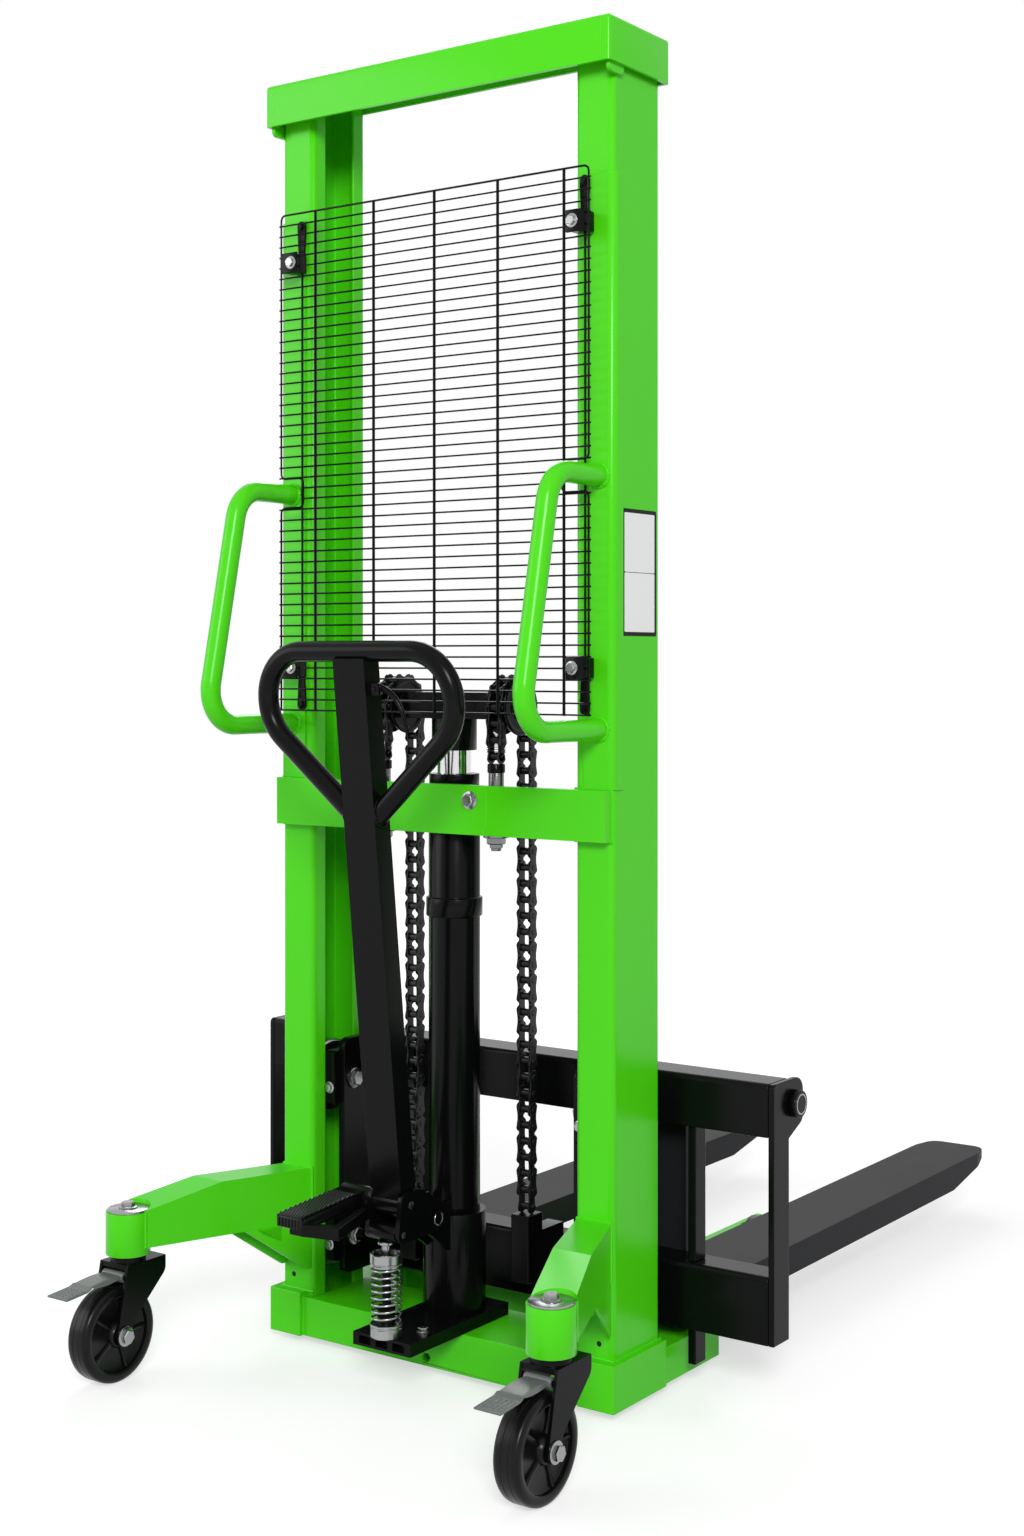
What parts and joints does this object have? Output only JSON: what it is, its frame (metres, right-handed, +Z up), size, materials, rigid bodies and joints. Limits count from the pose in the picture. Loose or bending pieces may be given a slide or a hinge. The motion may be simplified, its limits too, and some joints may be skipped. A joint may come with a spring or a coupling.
{
  "type": "hand pallet stacker",
  "caption": "Hand pallet stacker with a fixed mast, chain-lifted fork carriage, hand and foot pump, mesh guard, support legs and braked swivel castors.",
  "frame": {"origin": "on the floor, under the middle of the truck's overall length and width", "axes": "+Y towards the fork tips, +Z up the mast, +X to the operator's right; the operator stands at -Y"},
  "size_m": [1.036, 1.874, 2.08],
  "materials": {
    "green_paint": "bright green powder coat",
    "black_paint": "satin black powder coat",
    "fork_paint": "dark grey satin paint",
    "chain_steel": "oiled black steel",
    "bright_steel": "bright zinc-plated steel",
    "chrome_rod": "polished hard chrome",
    "wheel_polymer": "moulded black polymer",
    "brake_grey": "moulded grey polymer"
  },
  "bodies": {
    "chassis": {"base_frame": "green_paint", "left_support_leg": "green_paint", "right_support_leg": "green_paint", "left_upright": "green_paint", "right_upright": "green_paint", "upright_corner_plates": "green_paint", "top_beam": "green_paint", "crossbar": "green_paint", "left_grab_handle": "green_paint", "right_grab_handle": "green_paint", "left_castor_arm": "green_paint", "right_castor_arm": "green_paint", "guard_mesh": "black_paint", "guard_strips": "black_paint", "guard_clamps": "black_paint", "chain_anchor_studs": "bright_steel", "pump_base_plate": "black_paint", "cylinder_tube": "black_paint", "cylinder_gland": "black_paint", "pump_sleeve": "black_paint", "tiller_pivot_pin": "bright_steel", "spring_seat": "bright_steel", "pump_spring": "bright_steel", "chain_rear_runs": "chain_steel"},
    "ram": {"piston_rod": "chrome_rod", "crosshead": "black_paint", "pulley_shaft": "bright_steel", "chain_over_pulleys": "chain_steel"},
    "carriage": {"carriage_upper_beam": "black_paint", "carriage_lower_beam": "black_paint", "carriage_end_plates": "black_paint", "carriage_posts": "black_paint", "carriage_roller_plates": "black_paint", "mast_roller_axles": "bright_steel", "chain_sockets": "black_paint", "fork_shaft": "bright_steel", "chain_front_runs": "chain_steel"},
    "tiller": {"tiller_tube": "black_paint", "tiller_loop": "black_paint", "tiller_yoke": "black_paint", "foot_pedal": "fork_paint"},
    "left_pulley": {"left_pulley": "black_paint"},
    "right_pulley": {"right_pulley": "black_paint"},
    "left_fork": {"left_fork": "fork_paint"},
    "right_fork": {"right_fork": "fork_paint"},
    "upper_left_roller": {"upper_left_roller": "bright_steel"},
    "upper_right_roller": {"upper_right_roller": "bright_steel"},
    "lower_left_roller": {"lower_left_roller": "bright_steel"},
    "lower_right_roller": {"lower_right_roller": "bright_steel"},
    "pump_roller": {"pump_roller": "bright_steel"},
    "release_lever": {"release_lever": "black_paint"},
    "plunger": {"plunger": "bright_steel"},
    "left_castor_fork": {"left_castor_fork": "black_paint"},
    "right_castor_fork": {"right_castor_fork": "black_paint"},
    "left_castor_wheel": {"left_castor_wheel": "wheel_polymer"},
    "right_castor_wheel": {"right_castor_wheel": "wheel_polymer"},
    "left_castor_brake": {"left_castor_brake": "brake_grey"},
    "right_castor_brake": {"right_castor_brake": "brake_grey"},
    "left_load_roller": {"left_load_roller": "wheel_polymer"},
    "right_load_roller": {"right_load_roller": "wheel_polymer"}
  },
  "joints": [
    {"name": "carriage_lift", "type": "slide", "parent": "chassis", "child": "carriage", "axis": [0, 0, 1], "range_m": [0, 1.5], "deforming": ["chain_front_runs"]},
    {"name": "ram_lift", "type": "slide", "parent": "chassis", "child": "ram", "axis": [0, 0, 1], "range_m": [0, 0.75], "deforming": ["chain_rear_runs"]},
    {"name": "tiller_pump", "type": "hinge", "parent": "chassis", "child": "tiller", "pos_m": [0, -0.561, 0.264], "axis": [1, 0, 0], "range_deg": [0, 30], "stiffness_Nm_per_rad": 60, "springref_deg": -22.92},
    {"name": "plunger_stroke", "type": "slide", "parent": "chassis", "child": "plunger", "axis": [0, 0, 1], "range_m": [-0.0535, 0], "deforming": ["pump_spring"]},
    {"name": "pump_roller_spin", "type": "hinge", "parent": "tiller", "child": "pump_roller", "pos_m": [0, -0.643, 0.256], "axis": [1, 0, 0], "continuous": true},
    {"name": "release_lever_squeeze", "type": "hinge", "parent": "tiller", "child": "release_lever", "pos_m": [0.0398, -0.71191, 1.08522], "axis": [0, -0.994, -0.1097], "range_deg": [0, 18], "stiffness_Nm_per_rad": 1, "springref_deg": -8.59},
    {"name": "left_pulley_spin", "type": "hinge", "parent": "ram", "child": "left_pulley", "pos_m": [-0.112, -0.471, 1.055], "axis": [1, 0, 0], "continuous": true},
    {"name": "right_pulley_spin", "type": "hinge", "parent": "ram", "child": "right_pulley", "pos_m": [0.112, -0.471, 1.055], "axis": [1, 0, 0], "continuous": true},
    {"name": "lower_left_roller_spin", "type": "hinge", "parent": "carriage", "child": "lower_left_roller", "pos_m": [-0.293, -0.4465, 0.172], "axis": [1, 0, 0], "continuous": true},
    {"name": "lower_right_roller_spin", "type": "hinge", "parent": "carriage", "child": "lower_right_roller", "pos_m": [0.293, -0.4465, 0.172], "axis": [1, 0, 0], "continuous": true},
    {"name": "upper_left_roller_spin", "type": "hinge", "parent": "carriage", "child": "upper_left_roller", "pos_m": [-0.293, -0.4465, 0.432], "axis": [1, 0, 0], "continuous": true},
    {"name": "upper_right_roller_spin", "type": "hinge", "parent": "carriage", "child": "upper_right_roller", "pos_m": [0.293, -0.4465, 0.432], "axis": [1, 0, 0], "continuous": true},
    {"name": "left_fork_spread", "type": "slide", "parent": "carriage", "child": "left_fork", "axis": [1, 0, 0], "range_m": [-0.03, 0.16]},
    {"name": "right_fork_spread", "type": "slide", "parent": "carriage", "child": "right_fork", "axis": [1, 0, 0], "range_m": [-0.16, 0.03]},
    {"name": "left_castor_swivel", "type": "hinge", "parent": "chassis", "child": "left_castor_fork", "pos_m": [-0.405, -0.79, 0.2], "axis": [0, 0, 1], "continuous": true},
    {"name": "left_castor_roll", "type": "hinge", "parent": "left_castor_fork", "child": "left_castor_wheel", "pos_m": [-0.405, -0.826, 0.075], "axis": [1, 0, 0], "continuous": true},
    {"name": "left_castor_brake_press", "type": "hinge", "parent": "left_castor_fork", "child": "left_castor_brake", "pos_m": [-0.405, -0.818, 0.162], "axis": [1, 0, 0], "range_deg": [0, 6], "stiffness_Nm_per_rad": 6, "springref_deg": -5.73},
    {"name": "left_load_roll", "type": "hinge", "parent": "chassis", "child": "left_load_roller", "pos_m": [-0.095, 0.373, 0.035], "axis": [1, 0, 0], "continuous": true},
    {"name": "right_castor_swivel", "type": "hinge", "parent": "chassis", "child": "right_castor_fork", "pos_m": [0.405, -0.79, 0.2], "axis": [0, 0, 1], "continuous": true},
    {"name": "right_castor_roll", "type": "hinge", "parent": "right_castor_fork", "child": "right_castor_wheel", "pos_m": [0.405, -0.826, 0.075], "axis": [1, 0, 0], "continuous": true},
    {"name": "right_castor_brake_press", "type": "hinge", "parent": "right_castor_fork", "child": "right_castor_brake", "pos_m": [0.405, -0.818, 0.162], "axis": [1, 0, 0], "range_deg": [0, 6], "stiffness_Nm_per_rad": 6, "springref_deg": -5.73},
    {"name": "right_load_roll", "type": "hinge", "parent": "chassis", "child": "right_load_roller", "pos_m": [0.095, 0.373, 0.035], "axis": [1, 0, 0], "continuous": true}
  ],
  "couplings": [
    {"joint": "ram_lift", "follows": "carriage_lift", "ratio": 0.5},
    {"joint": "left_pulley_spin", "follows": "carriage_lift", "rad_per_m": 12.166},
    {"joint": "right_pulley_spin", "follows": "carriage_lift", "rad_per_m": 12.166},
    {"joint": "plunger_stroke", "follows": "tiller_pump", "m_per_rad": -0.082}
  ]
}
